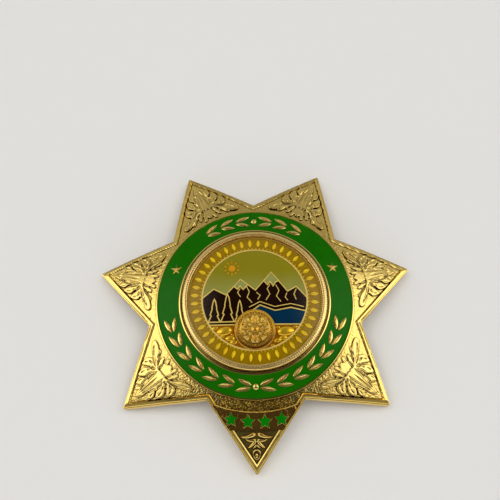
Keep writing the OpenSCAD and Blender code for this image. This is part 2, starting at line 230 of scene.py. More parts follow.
# Fired enamel: a glassy skin with a faint orange peel, mottled between two colours. A translucent
# one shows the stippled gold below it as glittering flakes.
def enamel(name, colour, speck, roughness=0.05, mottleMm=3.0, mottle=0.5, flake=0.0, downTo=None, gloss=0.3):
    material, tree = newMaterial(name)
    where = addNode(tree, "TexCoord").outputs["Object"]
    cloud = addNode(tree, "TexNoise", inputs={"Vector": where, "Scale": perMetre(mottleMm), "Detail": 4.0})
    limits = {"Value": cloud.outputs["Fac"], "From Min": 0.3, "From Max": 0.7, "To Max": mottle}
    amount = addNode(tree, "MapRange", inputs=limits)
    top = linear(colour)
    if downTo:  # the enamel changes colour down the picture
        low, fromMm, toMm = downTo
        up = addNode(tree, "SeparateXYZ", inputs={"Vector": where})
        limits = {"Value": up.outputs["Y"], "From Min": fromMm * millimetre, "From Max": toMm * millimetre}
        fade = addNode(tree, "MapRange", inputs=limits)
        shades = {"Factor": fade.outputs["Result"], "A": linear(low), "B": top}
        top = addNode(tree, "Mix", colourMix, shades).outputs["Result"]
    shades = {"Factor": amount.outputs["Result"], "A": top, "B": linear(speck)}
    tone = addNode(tree, "Mix", colourMix, shades)
    height, depthMm = cloud.outputs["Fac"], 0.004
    if flake:
        grit = addNode(tree, "TexVoronoi", inputs={"Vector": where, "Scale": perMetre(0.45)})
        height, depthMm = grit.outputs["Distance"], 0.06
    skin = addNode(tree, "Bump", inputs={"Height": height, "Distance": depthMm * millimetre})
    shine = {"Metallic": flake, "Roughness": roughness, "IOR": 1.5, "Specular IOR Level": gloss}
    finishMaterial(tree, {"Base Color": tone.outputs["Result"], "Normal": skin.outputs["Normal"], **shine})
    return material


def paper(colour):  # matte studio paper, faintly fibrous
    material, tree = newMaterial("studio_paper")
    where = addNode(tree, "TexCoord").outputs["Object"]
    fibre = addNode(tree, "TexNoise", inputs={"Vector": where, "Scale": perMetre(0.8), "Detail": 6.0})
    grain = addNode(tree, "Bump", inputs={"Height": fibre.outputs["Fac"], "Distance": 0.02 * millimetre})
    finishMaterial(tree, {"Base Color": linear(colour), "Roughness": 0.9, "Normal": grain.outputs["Normal"]})
    return material


# Poured doming resin: clear with a warm tint, and a thin gloss on its outer side alone. Its IOR is
# lower than the resin's own 1.5, to match the weak reflections of the real dome.
def clearResin():
    material, tree = newMaterial("clear_doming_resin")
    through = addNode(tree, "BsdfTransparent", inputs={"Color": linear("FFFAE0")})
    shine = addNode(tree, "BsdfGlossy", inputs={"Color": (1, 1, 1, 1), "Roughness": 0.04})
    edge = addNode(tree, "Fresnel", inputs={"IOR": 1.28}).outputs["Fac"]
    inner = addNode(tree, "NewGeometry").outputs["Backfacing"]
    outer = addNode(tree, "Math", {"operation": "SUBTRACT"}, {0: 1.0, 1: inner}).outputs["Value"]
    share = addNode(tree, "Math", {"operation": "MULTIPLY"}, {0: edge, 1: outer}).outputs["Value"]
    layers = {"Fac": share, 1: through.outputs["BSDF"], 2: shine.outputs["BSDF"]}
    both = addNode(tree, "MixShader", inputs=layers)
    addNode(tree, "OutputMaterial", inputs={"Surface": both.outputs["Shader"]})
    return material


sunStain = {"place": (-5.2, 7.4), "radius": 2.3, "colour": "E8A818"}


def stainSun(material):  # the sun's face and rays are stained orange-yellow
    tree = material.node_tree
    shader = next(node for node in tree.nodes if node.type == "BSDF_PRINCIPLED")
    where = addNode(tree, "TexCoord").outputs["Object"]
    x, y = sunStain["place"]
    middle = (x * millimetre, (y + centreY) * millimetre, 0)
    flat = addNode(tree, "VectorMath", {"operation": "MULTIPLY"}, {0: where, 1: (1, 1, 0)})
    both = {0: flat.outputs["Vector"], 1: middle}
    away = addNode(tree, "VectorMath", {"operation": "DISTANCE"}, both).outputs["Value"]
    both = {0: away, 1: sunStain["radius"] * millimetre}
    outside = addNode(tree, "Math", {"operation": "GREATER_THAN"}, both).outputs["Value"]
    plain = shader.inputs["Base Color"].links[0].from_socket
    shades = {"Factor": outside, "A": linear(sunStain["colour"]), "B": plain}
    stained = addNode(tree, "Mix", colourMix, shades)
    tree.links.new(stained.outputs["Result"], shader.inputs["Base Color"])


print("materials")
# Buffed plate on the borders and lips: narrow bright and dark lines
polishedGold = goldPlate("gold_plated_brass_polished", ("F9DC80", "F0CC6A"), 0.12)
# Cast relief, buffed on its tops: dark lines of painted shade in its creases, partly old dirt, draw the leaves
reliefGold = goldPlate(
    "gold_plated_brass_cast_relief", ("F9DC80", "F1CE70"), 0.13,
    bumps=[("noise", 0.9, 0.02)], crease=(0.64, 0.98), dirtAndShade="2C1604", reachMm=0.5,
)
# Stippled ground, punched with a matting tool: fine glitter. The real grain is about 0.2 mm, and the
# wider one at 0.34 mm is there because 0.2 mm alone doesn't show in the picture.
stippledGold = goldPlate(
    "gold_plated_brass_stippled", ("F8DA7C", "EFCB6A"), 0.17,
    bumps=[("grains", 0.34, 0.030), ("noise", 0.2, 0.010)], crease=(0.5, 0.93),
)
# Coarse cast grain, toned dark: painted shade darkens it brown between its bright tops
coarseGold = goldPlate("gold_plated_brass_coarse_grained", ("AC9040", "74581C"), 0.10, dirtAndShade="180C02")
# Laurel, satin finished: soft pale leaves on the enamel
laurelGold = goldPlate("gold_plated_brass_laurel", ("FFE48C", "F8D478"), 0.26)
# Hatched slope inside the rim: the real hatching is about 0.25 mm and is drawn at 0.45 mm to show
hatchedGold = goldPlate(
    "gold_plated_brass_hatched", ("F9DC80", "F1CE70"), 0.12, bumps=[("hatch", 0.45, 0.016)], crease=(0.05, 0.4)
)
# Mirror-bright panel with a slow wave: it reflects the room in broad brown and gold patches, and its colour is
# mottled brown and gold as painted reflection
panelGold = goldPlate(
    "gold_plated_brass_panel", ("ECC05C", "B87428"), 0.05, bumps=[("noise", 1.5, 0.2)], metal=0.96
)
# The seal's milled edge: warm satin with painted red-brown shade between its ridges
sealGold = goldPlate("gold_plated_brass_seal_edge", ("FFE292", "FBD07C"), 0.24, dirtAndShade="6A2C08", metal=0.86)
# Gold seen through the resin, which takes its sparkle: yellower, softer and less metallic to the eye
petalGold = goldPlate("gold_plated_brass_under_resin", ("FFE62C", "F6CC14"), 0.4, crease=(0.0, 0.3), metal=0.6)
lineGold = goldPlate(
    "gold_plated_brass_seal_lines", ("F4DE98", "E8CC7C"), 0.4,
    bumps=[("noise", 0.4, 0.03)], crease=(0.0, 0.3), metal=0.5,
)
stainSun(lineGold)
# The medal and the meadow clumps: painted shade darkens their creases brown
medalGold = goldPlate(
    "gold_plated_brass_medal", ("FFD468", "F6BE48"), 0.24,
    crease=(0.3, 0.9), dirtAndShade="5A2C04", reachMm=0.45, metal=0.75,
)
meadowGold = goldPlate(
    "gold_plated_brass_meadow", ("FFE050", "F4BC24"), 0.2,
    crease=(0.2, 0.8), dirtAndShade="6A3804", reachMm=0.5, metal=0.75,
)
# Drawn wire and its feet, plated but not buffed: an even soft shine
satinBrass = goldPlate("gold_plated_pin_wire_satin", ("E8C070", "D9AC58"), 0.3)
# Opaque green: a deep flat colour with a weak gloss, brighter where it lies thin in the small stars
greenEnamel = enamel("green_vitreous_enamel", "166600", "125A00", mottle=0.6, gloss=0.08)
brightGreenEnamel = enamel("green_vitreous_enamel_thin", "067806", "086A04", mottle=0.6)
# Translucent ones: the gold below glints through the amber
amberEnamel = enamel("amber_translucent_enamel", "9C8004", "866C00", roughness=0.15, flake=0.1, gloss=0.06)
meadowEnamel = enamel(
    "amber_clear_enamel_on_gold", "A86E0C", "6E4404",
    roughness=0.25, mottleMm=1.2, mottle=0.9, flake=0.3, gloss=0.06,
)
skyEnamel = enamel(
    "olive_translucent_enamel", "88841E", "807E26", mottleMm=6.0, downTo=("94A070", 2.0, 8.5), gloss=0.06
)
# Opaque fills of the picture, under the resin: almost no gloss of their own
darkEnamel = enamel("brown_black_enamel", "1E0C08", "120604", gloss=0.06)
blueEnamel = enamel("deep_blue_enamel", "033060", "02244E", mottleMm=5.0, gloss=0.06)
sageEnamel = enamel("pale_sage_enamel", "8C9868", "9CA676", gloss=0.06)


# Making and choosing

def addPrimitive(name, operator, **settings):
    bpy.ops.object.select_all(action="DESELECT")
    operator(**settings)
    piece = bpy.context.object
    piece.name = piece.data.name = name
    return piece


def choose(piece):
    bpy.ops.object.select_all(action="DESELECT")
    bpy.context.view_layer.objects.active = piece
    piece.select_set(True)


def editPiece(piece):
    choose(piece)
    bpy.ops.object.mode_set(mode="EDIT")
    bpy.ops.mesh.select_all(action="DESELECT")


def leaveEdit():
    bpy.ops.object.mode_set(mode="OBJECT")


def chooseAll():  # all of the piece in edit mode
    bpy.ops.mesh.select_all(action="SELECT")


def weldAll(threshold=0.001):
    chooseAll()
    bpy.ops.mesh.remove_doubles(threshold=threshold)


def faceOutwards():
    chooseAll()
    bpy.ops.mesh.normals_make_consistent(inside=False)


def moveBy(x, y, z):
    bpy.ops.transform.translate(value=(x, y, z))


def scaleBy(x, y, z, centre=(0, 0, 0)):
    bpy.ops.transform.resize(value=(x, y, z), center_override=centre)


def extrudeBy(x, y, z):
    bpy.ops.mesh.extrude_region_move(TRANSFORM_OT_translate={"value": (x, y, z)})


def insetSteps(steps):  # (width, rise) of each step inwards from the chosen face
    for width, climb in steps:
        bpy.ops.mesh.inset(thickness=width, depth=climb, use_even_offset=True)


def pickPoints(piece, test):
    bpy.ops.mesh.select_mode(type="VERT")
    mesh = bmesh.from_edit_mesh(piece.data)
    for point in mesh.verts:
        point.select_set(bool(test(point.co)))
    mesh.select_flush_mode()
    bmesh.update_edit_mesh(piece.data)


def pickFaces(piece, test):
    bpy.ops.mesh.select_mode(type="FACE")
    mesh = bmesh.from_edit_mesh(piece.data)
    for face in mesh.faces:
        face.select_set(bool(test(face.calc_center_median(), face.normal)))
    bmesh.update_edit_mesh(piece.data)


def applyModifier(piece, kind, **settings):
    choose(piece)
    modifier = piece.modifiers.new(kind.lower(), kind)
    for name, value in settings.items():
        setattr(modifier, name, value)
    bpy.ops.object.modifier_apply(modifier=modifier.name)


def cutWith(piece, tool, operation="DIFFERENCE"):
    applyModifier(piece, "BOOLEAN", object=tool, operation=operation, solver="EXACT")
    bpy.data.objects.remove(tool)


def copyPiece(piece, name):
    double = piece.copy()
    double.data = piece.data.copy()
    double.name = double.data.name = name
    bpy.context.collection.objects.link(double)
    return double


def placePiece(piece, at=(0, 0, 0), turnBy=0.0, shape=(1, 1, 1)):  # shaped, turned about Z and moved
    place = Matrix.Translation(at) @ Matrix.Rotation(turnBy, 4, "Z") @ Matrix.Diagonal((*shape, 1))
    piece.data.transform(place)
    return piece


def joinPieces(name, pieces):
    bpy.ops.object.select_all(action="DESELECT")
    for piece in pieces:
        piece.select_set(True)
    bpy.context.view_layer.objects.active = pieces[0]
    bpy.ops.object.join()
    piece = bpy.context.object
    piece.name = piece.data.name = name
    return piece


def roundPoints(piece, name):  # one copy for each point of the star, as one piece
    turns = [math.radians(i * stepAngle) for i in range(star["points"])]
    copies = [placePiece(copyPiece(piece, name), turnBy=turn) for turn in turns]
    bpy.data.objects.remove(piece)
    return joinPieces(name, copies)


# A section drawn as a line of (radius, height) points and turned on a lathe
def turned(name, section, steps, closed=True, start=0.0, sweep=360.0):
    piece = addPrimitive(name, bpy.ops.mesh.primitive_plane_add, size=0.01, enter_editmode=True)
    bpy.ops.mesh.select_mode(type="VERT")
    bpy.ops.mesh.merge(type="CENTER")
    moveBy(section[0][0], 0, section[0][1])
    line = section + section[:1] if closed else section
    for (fromRadius, fromHeight), (toRadius, toHeight) in zip(line, line[1:]):
        extrudeBy(toRadius - fromRadius, 0, toHeight - fromHeight)
    weldAll()
    bpy.ops.mesh.spin(steps=steps, angle=math.radians(-sweep), center=(0, 0, 0), axis=(0, 0, 1))
    if sweep < 360:  # close both ends
        chooseAll()
        bpy.ops.mesh.fill_holes(sides=0)
    weldAll()
    faceOutwards()
    leaveEdit()
    return placePiece(piece, turnBy=math.radians(start))


def notchLies(at):  # tips lie at whole steps round from the bottom, notches half-way between
    steps = (math.degrees(math.atan2(at.y, at.x)) + 90) / stepAngle
    return abs(steps - round(steps)) > 0.25


def raiseShape(low, high):  # the flat shape in edit mode becomes a slab between two levels
    chooseAll()
    moveBy(0, 0, low)
    extrudeBy(0, 0, high - low)


def starSlab(name, inset, low, high):  # left in edit mode
    tip = star["tipRadius"] - inset / math.sin(tipHalf)
    notch = star["notchRadius"] - inset / math.sin(notchAngle)
    circle = bpy.ops.mesh.primitive_circle_add
    sides = 2 * star["points"]
    piece = addPrimitive(name, circle, vertices=sides, radius=tip, fill_type="NGON", enter_editmode=True)
    pickPoints(piece, notchLies)
    scaleBy(notch / tip, notch / tip, 1)
    raiseShape(low, high)
    return piece


def starOutline(name, inset, low, high):
    piece = starSlab(name, inset, low, high)
    faceOutwards()
    leaveEdit()
    return piece


def disc(name, radius, low, high):
    cylinder = bpy.ops.mesh.primitive_cylinder_add
    middle = (0, 0, (low + high) / 2)
    return addPrimitive(name, cylinder, vertices=256, radius=radius, depth=high - low, location=middle)


def addGrid(name, columns, rows):  # a unit square, left in edit mode
    grid = bpy.ops.mesh.primitive_grid_add
    return addPrimitive(name, grid, x_subdivisions=columns, y_subdivisions=rows, size=1, enter_editmode=True)


def addBall(name, segments, rings, radius):
    return addPrimitive(
        name, bpy.ops.mesh.primitive_uv_sphere_add, segments=segments, ring_count=rings, radius=radius
    )


def cutAcross(point, normal, trim=False):  # cuts the piece in edit mode, and trims off the outer side
    chooseAll()
    bpy.ops.mesh.bisect(plane_co=point, plane_no=normal, clear_outer=trim, use_fill=trim)


def trimToPoint():  # leaves the bottom point alone, cut along the middle lines of its two notches
    for side in (-1, 1):
        x, y = polar(1, -90 + side * (stepAngle / 2 + 90))
        cutAcross((0, 0, 0), (x, y, 0), trim=True)


def finishPiece(piece, materials, replaced=(), onDome=True, smooth=30.0):
    for point in piece.data.vertices:
        x, y, z = point.co
        if onDome:  # the tips are ground flat where they meet the table
            z = max(z + rise(math.hypot(x, y)), 0.0)
        point.co = (x * millimetre, (y + centreY) * millimetre, z * millimetre)
    for material in materials:
        piece.data.materials.append(material)
    choose(piece)
    bpy.ops.object.shade_smooth_by_angle(angle=math.radians(smooth))
    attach(piece, "root")
    if replaced:
        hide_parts(*replaced)


print("studio")
makeStudio()

# The star plate: walls, lip, rim, groove and fields, with a recess for the ring and the seal
starPlate = {
    "wallTop": 1.95,
    "footChamfer": 0.12,
    "rim": [  # width of each step inwards, and how far it rises: lip, rim, hatched slope, groove
        (0.05, 0.12), (0.10, 0.05), (0.05, 0.00), (0.06, 0.26), (0.05, 0.04), (0.52, 0.08),
        (0.05, -0.04), (0.30, -0.36), (0.04, -0.18), (0.04, 0.08), (0.08, 0.00),
    ],
    "hatchedSlope": (0.75, 0.55),  # the faces whose normals lean between these are hatched
    "tipRounding": 0.57,
    "trimLevels": (-1, 4),
    "recess": (22.6, 0.85, 6),  # its radius, floor and the top of its tool
    "cellMm": 1.3,  # size of the plate's faces, so that it can bend to the dome
}


def makeStarPlate():
    sizes = starPlate
    chamfer = sizes["footChamfer"]
    piece = starSlab("starPlate", 0, chamfer, sizes["wallTop"])
    bpy.ops.mesh.select_mode(type="FACE")
    insetSteps(sizes["rim"])
    pickFaces(piece, lambda at, normal: normal.z < -0.9)
    insetSteps([(chamfer, chamfer)])
    leaveEdit()
    # rounded tips
    tips = starOutline("tipTrim", 0, *sizes["trimLevels"])
    editPiece(tips)
    bpy.ops.mesh.select_mode(type="EDGE")
    mesh = bmesh.from_edit_mesh(tips.data)
    for edge in mesh.edges:
        a, b = edge.verts
        edge.select_set(abs(a.co.z - b.co.z) > 1 and not notchLies(a.co))  # the upright ones
    bmesh.update_edit_mesh(tips.data)
    bpy.ops.mesh.bevel(offset=sizes["tipRounding"], segments=5, affect="EDGES")
    leaveEdit()
    cutWith(piece, tips, "INTERSECT")
    cutWith(piece, disc("recess", *sizes["recess"]))
    # cut into small faces, so that the plate follows the dome
    editPiece(piece)
    count = int(2 * star["tipRadius"] / sizes["cellMm"])
    for i in range(1, count):
        at = -star["tipRadius"] + i * sizes["cellMm"]
        cutAcross((at, 0, 0), (1, 0, 0))
        cutAcross((0, at, 0), (0, 1, 0))
    weldAll(0.0005)
    leaveEdit()
    flattest, steepest = sizes["hatchedSlope"]
    # materials in the order given to finishPiece: the level fields are stippled, the slope is hatched
    for face in piece.data.polygons:
        if face.normal.z > 0.95 and abs(face.center.z - star["fieldLevel"]) < 0.02:
            face.material_index = 1
        elif steepest < face.normal.z < flattest and face.center.z < star["rimLevel"]:
            face.material_index = 2
    finishPiece(piece, [polishedGold, stippledGold, hatchedGold], ["star_plate"])


print("star plate")
makeStarPlate()

# The stippled fields: a fine grained skin on each point, cut to the field's outline
fieldSizes = {
    "inset": 1.32,
    "outlineLevels": (1, 4),
    "ringTool": (22.86, 0, 6),  # radius and levels of the disc that makes room for the ring
    "reach": (20.4, 37.0),  # out from the centre
    "root": 4,  # how far within the line between its notches a field begins
    "halfWidth": 10.3,
    "bottom": 1.9,
    "level": 2.045,
    "spacingMm": 0.26,
    "relief": 0.034,  # how far a point of the skin is shaken out of its place
    "seed": 5,
}


def makeFields():
    sizes = fieldSizes
    near, far = sizes["reach"]
    width = 2 * sizes["halfWidth"]
    skin = addGrid("skin", int(width / sizes["spacingMm"]), int((far - near) / sizes["spacingMm"]))
    scaleBy(width, far - near, 1)
    moveBy(0, -(near + far) / 2, sizes["level"])
    bpy.ops.transform.vertex_random(offset=sizes["relief"], seed=sizes["seed"])
    extrudeBy(0, 0, 0)
    scaleBy(1, 1, 0, centre=(0, 0, sizes["bottom"]))
    faceOutwards()
    leaveEdit()
    outline = starOutline("fieldOutline", sizes["inset"], *sizes["outlineLevels"])
    cutWith(outline, disc("ringTool", *sizes["ringTool"]))
    editPiece(outline)
    cutAcross((0, sizes["root"] - star["notchRadius"] * math.cos(halfStep), 0), (0, 1, 0), trim=True)
    trimToPoint()
    leaveEdit()
    cutWith(skin, outline, "INTERSECT")
    finishPiece(roundPoints(skin, "stippledFields"), [stippledGold], smooth=60)


print("fields")
makeFields()

# The ring: gold border, channel and inner border in one turned piece, and the enamel in it
ringSizes = {
    "border": [
        (22.42, 2.44), (22.46, 2.51), (22.54, 2.535), (22.74, 2.535), (22.82, 2.50), (22.86, 2.42),
        (22.87, 1.90), (22.60, 1.80),
    ],
    "floor": [(22.55, 0.88), (17.10, 0.88), (16.92, 1.00)],
    "innerBorder": [(16.92, 2.42), (16.96, 2.50), (17.05, 2.535), (17.36, 2.535), (17.45, 2.50), (17.48, 2.42)],
    "channel": [(17.50, 1.60), (22.40, 1.60)],
    "enamel": [
        (17.46, 1.66), (17.46, 2.43), (17.60, 2.41), (17.90, 2.40), (19.95, 2.405), (22.0, 2.40),
        (22.30, 2.41), (22.44, 2.43), (22.44, 1.66),
    ],
    "steps": 288,
}


def makeRing():
    sizes = ringSizes
    section = sizes["border"] + sizes["floor"] + sizes["innerBorder"] + sizes["channel"]
    finishPiece(turned("ringBorders", section, sizes["steps"]), [polishedGold])
    fill = turned("ringEnamel", sizes["enamel"], sizes["steps"])
    finishPiece(fill, [greenEnamel], ["ring_enamel"])


print("ring")
makeRing()

# Small leaves: unit blanks, each copied and laid between two places. A blank has rows of (place
# along it, share of its width, share of its height), columns of (place across it, share of its
# height), and a foot that sinks into the plate.
blanks = {
    "tooth": {
        "along": [
            (0.00, 0.80, 0.80), (0.25, 1.00, 1.00), (0.55, 0.78, 0.92), (0.82, 0.40, 0.75), (1.00, 0.05, 0.40),
        ],
        "across": [(-0.50, 0.0), (-0.40, 0.60), (0.0, 1.0), (0.40, 0.60), (0.50, 0.0)],
        "foot": 0.45,
    },
    "laurel": {
        "along": [
            (0.00, 0.22, 0.80), (0.18, 0.72, 0.95), (0.38, 1.00, 1.00), (0.60, 0.92, 0.95), (0.82, 0.55, 0.85),
            (1.00, 0.04, 0.70),
        ],
        "across": [
            (-0.50, 0.0), (-0.42, 0.70), (-0.16, 0.80), (0.0, 0.45), (0.16, 0.80), (0.42, 0.70), (0.50, 0.0),
        ],
        "foot": 0.9,
    },
}


def makeBlank(name, form):  # one leaf of unit length along X, unit width along Y and unit height
    rows, columns = len(form["along"]) - 1, len(form["across"]) - 1
    aside = 10  # what is placed waits out here, so that it isn't picked again
    piece = addGrid(name, rows, columns)
    moveBy(0.5, 0, 0)
    extrudeBy(0, 0, 0.001)
    for i, (across, height) in enumerate(form["across"]):
        column = -0.5 + i / columns
        pickPoints(piece, lambda at: abs(at.y - column) < 0.001 and at.z > 0.0005)
        moveBy(0, 0, height)
        pickPoints(piece, lambda at: abs(at.y - column) < 0.001)
        moveBy(0, aside + across - column, 0)
    for i, (along, width, height) in enumerate(form["along"]):
        row = i / rows
        pickPoints(piece, lambda at: abs(at.x - row) < 0.001)
        scaleBy(1, width, height, centre=(row, aside, 0))
        moveBy(aside + along - row, 0, 0)
    chooseAll()
    moveBy(-aside, -aside, 0)
    leaveEdit()
    return piece


def bentTip(length, angle):  # where the end of a leaf comes when it is bent by that angle
    radius = length / angle
    return Vector((radius * math.sin(angle), radius * (1 - math.cos(angle)), 0))


def layLeaf(kind, start, end, width, height, level, bend=0.0):  # bend is its turn in radians
    leaf = copyPiece(patterns[kind], kind)
    run = Vector((end[0] - start[0], end[1] - start[1]))
    editPiece(leaf)
    chooseAll()
    scaleBy(run.length, width, height)
    pickPoints(leaf, lambda at: at.z < 0.0005 * height)
    moveBy(0, 0, -blanks[kind]["foot"])
    leaveEdit()
    tip = Vector((run.length, 0, 0))
    if bend:
        applyModifier(leaf, "SIMPLE_DEFORM", deform_method="BEND", deform_axis="Z", angle=bend)
        tip = bentTip(run.length, bend)
    fit = run.length / math.hypot(tip.x, tip.y)
    turnBy = math.atan2(run.y, run.x) - math.atan2(tip.y, tip.x)
    return placePiece(leaf, (start[0], start[1], level), turnBy, (fit, fit, 1))


# Scroll leaf of an upper point, drawn on one side of the point's middle line and mirrored. Places
# are (out along the point, across it) in millimetres, and a crease also has its radius there.
scrollWork = {
    "leaf": [
        (34.1, 0.0), (33.3, 0.66), (32.5, 0.88), (31.75, 0.98), (31.95, 1.50), (32.38, 2.22), (31.7, 2.60),
        (30.8, 2.62), (29.85, 1.95), (30.35, 2.55), (30.90, 3.30), (30.2, 3.80), (29.0, 3.88), (27.80, 2.95),
        (28.20, 3.75), (28.80, 4.68), (28.0, 5.15), (26.9, 5.10), (26.15, 4.35), (25.5, 5.30), (24.7, 6.35),
        (23.9, 7.2), (23.3, 7.0), (23.3, 6.2), (23.7, 5.2), (24.3, 4.3), (25.4, 3.3), (26.2, 2.2), (26.6, 1.2),
        (26.5, 0.3), (27.0, -0.3), (31.5, -0.3),
    ],
    "frill": [
        (25.5, 4.50), (24.7, 4.55), (23.95, 4.95), (23.60, 4.60), (24.00, 3.95), (24.75, 3.45), (25.05, 2.95),
        (24.75, 2.80), (24.35, 2.95), (24.05, 2.70), (24.20, 2.25), (24.75, 1.95), (25.05, 1.60), (24.60, 1.55),
        (23.80, 1.75), (23.40, 1.45), (23.70, 1.00), (24.40, 0.75), (24.95, 0.55), (24.55, 0.40), (24.10, 0.25),
        (23.95, -0.3), (27.2, -0.3), (27.2, 1.2), (26.6, 2.6), (26.0, 3.7),
    ],
    "leafCreases": [
        [(26.9, 1.0, 0.10), (28.2, 1.15, 0.42), (30.0, 0.95, 0.40), (31.8, 0.55, 0.30), (33.4, 0.15, 0.08)],
        [(27.2, 0.0, 0.10), (29.5, 0.0, 0.26), (32.0, 0.0, 0.24), (33.6, 0.0, 0.08)],
        [(31.9, 0.98, 0.14), (31.2, 1.15, 0.40), (30.1, 1.35, 0.44), (28.8, 1.45, 0.20)],
        [(30.0, 2.00, 0.16), (29.4, 1.90, 0.42), (28.6, 1.80, 0.48), (27.7, 1.55, 0.20)],
        [(27.9, 3.05, 0.16), (27.6, 2.65, 0.40), (27.4, 2.20, 0.38), (27.2, 1.60, 0.15)],
        [(28.9, 3.30, 0.05), (28.5, 2.75, 0.22), (28.0, 2.30, 0.12)],
        [(32.1, 2.15, 0.05), (31.4, 2.20, 0.20), (30.6, 1.95, 0.12)],
        [(30.6, 3.20, 0.05), (29.8, 3.30, 0.22), (28.9, 2.95, 0.12)],
        [(28.5, 4.50, 0.05), (27.8, 4.55, 0.22), (27.3, 3.90, 0.12)],
        [(27.2, 4.70, 0.05), (27.0, 3.90, 0.26), (26.9, 3.00, 0.15)],
        [(23.7, 6.70, 0.08), (24.6, 5.70, 0.28), (25.6, 4.50, 0.38), (26.3, 3.20, 0.36), (26.8, 1.80, 0.10)],
    ],
    "frillCreases": [
        [(24.85, 2.95, 0.10), (25.45, 2.75, 0.34), (26.3, 2.35, 0.36), (27.0, 1.70, 0.20)],
        [(24.90, 1.60, 0.10), (25.50, 1.55, 0.36), (26.3, 1.30, 0.36), (27.1, 0.90, 0.20)],
        [(24.80, 0.52, 0.08), (25.50, 0.42, 0.24), (26.4, 0.35, 0.20)],
        [(24.00, 4.55, 0.05), (24.80, 4.00, 0.18), (25.6, 3.40, 0.12)],
        [(23.75, 1.35, 0.05), (24.50, 1.10, 0.18), (25.3, 1.00, 0.10)],
    ],
    "level": 2.0,
    "leafHeight": 0.58,
    "frillHeight": 0.40,
    "foot": 0.35,
    "edge": 0.13,  # rounding of the outline
    "creaseRise": 0.12,  # centre of a crease above the leaf
    "voxel": 0.08,
    "smoothing": {"factor": 0.5, "iterations": 3},
    "sunk": 0.15,  # how much of its foot is left below the field
}


def drawnCurve(name, places, closed, **settings):  # a smooth curve through the places, made a mesh
    curve = bpy.data.curves.new(name, "CURVE")
    curve.dimensions = "2D" if closed else "3D"
    for setting, value in settings.items():
        setattr(curve, setting, value)
    spline = curve.splines.new("BEZIER")
    spline.use_cyclic_u = closed
    spline.resolution_u = 6
    spline.bezier_points.add(len(places) - 1)
    for point, (out, across, radius) in zip(spline.bezier_points, places):
        point.co = (across, out, 0)
        point.radius = radius
        point.handle_left_type = point.handle_right_type = "AUTO"
    piece = bpy.data.objects.new(name, curve)
    bpy.context.collection.objects.link(piece)
    choose(piece)
    bpy.ops.object.convert(target="MESH")
    piece = bpy.context.object
    editPiece(piece)
    weldAll()
    faceOutwards()
    leaveEdit()
    return piece


def creasedPlate(name, outline, height, creases):
    sizes = scrollWork
    edge, thickness = sizes["edge"], height + sizes["foot"]
    places = [(out, across, 1) for out, across in outline]
    rounded = {"bevel_depth": edge, "bevel_resolution": 2, "offset": -edge}
    plate = drawnCurve(name, places, closed=True, fill_mode="BOTH", extrude=thickness / 2 - edge, **rounded)
    placePiece(plate, (0, 0, sizes["level"] + height - thickness / 2))
    wire = {"bevel_depth": 1, "bevel_resolution": 3, "use_fill_caps": True}
    for places in creases:
        crease = drawnCurve("crease", places, closed=False, **wire)
        placePiece(crease, (0, 0, sizes["level"] + height + sizes["creaseRise"]))
        cutWith(plate, crease)
    return plate


def makeScrolls():
    sizes = scrollWork
    halves = [
        creasedPlate("leafHalf", sizes["leaf"], sizes["leafHeight"], sizes["leafCreases"]),
        creasedPlate("frillHalf", sizes["frill"], sizes["frillHeight"], sizes["frillCreases"]),
    ]
    mirrored = [placePiece(copyPiece(half, "mirrored"), shape=(-1, 1, 1)) for half in halves]
    for half in mirrored:
        editPiece(half)
        chooseAll()
        bpy.ops.mesh.flip_normals()
        leaveEdit()
    scroll = joinPieces("scroll", halves + mirrored)
    applyModifier(scroll, "REMESH", mode="VOXEL", voxel_size=sizes["voxel"])
    applyModifier(scroll, "SMOOTH", **sizes["smoothing"])
    editPiece(scroll)
    cutAcross((0, 0, sizes["level"] - sizes["sunk"]), (0, 0, -1), trim=True)
    leaveEdit()
    for i in range(1, star["points"]):
        leaves = copyPiece(scroll, "scrollLeaves_" + str(i))
        placePiece(leaves, turnBy=math.radians(180 + i * stepAngle))
        finishPiece(leaves, [reliefGold], smooth=50)
    bpy.data.objects.remove(scroll)


print("scroll work")
patterns = {kind: makeBlank(kind + "Blank", form) for kind, form in blanks.items()}
makeScrolls()

# Laurel branches, berries and two small stars that stand in the ring's enamel
laurel = {
    "middleRadius": 19.95,
    "leafLength": 3.2,
    "leafWidth": 1.2,
    "root": 0.28,  # from the branch's middle line to a leaf's root, and on to its tip
    "spread": 1.0,
    "firstPair": 3.0,  # degrees from the berry, and then from pair to pair
    "pairStep": 10.9,
    "upperShift": 0.85,  # of the upper branches, in steps
    "branches": [(90, 3, False), (-90, 7, True)],  # middle, pairs on each side, tips away from the berry
    "level": 2.3,
    "height": 0.44,
    "berryRadius": 0.7,
    "berryHeight": 0.55,  # as a share of its radius
    "starAngles": (23, 157),
    "starRadius": 1.6,
    "starHeight": 0.75,
    "starFoot": 0.4,
}


def makeLaurel():
    sizes = laurel
    pieces = []
    middle, level = sizes["middleRadius"], sizes["level"]
    reach = math.degrees(sizes["leafLength"] / middle)
    for centre, pairs, away in sizes["branches"]:
        for side in (-1, 1):
            for i in range(pairs):
                shift = i + (0 if away else sizes["upperShift"])
                angle = centre + side * (sizes["firstPair"] + shift * sizes["pairStep"])
                toward = side * (1 if away else -1) * reach
                for out in (-1, 1):
                    root = polar(middle + out * sizes["root"], angle)
                    tip = polar(middle + out * (sizes["root"] + sizes["spread"]), angle + toward)
                    pieces.append(layLeaf("laurel", root, tip, sizes["leafWidth"], sizes["height"], level))
        berry = addBall("berry", 24, 12, sizes["berryRadius"])
        pieces.append(placePiece(berry, (*polar(middle, centre), level), shape=(1, 1, sizes["berryHeight"])))
    for angle in sizes["starAngles"]:
        small = facetedStar("smallStar", sizes["starRadius"], sizes["starHeight"], sizes["starFoot"])
        pieces.append(placePiece(small, (*polar(middle, angle), level)))
    finishPiece(joinPieces("laurelBranches", pieces), [laurelGold])


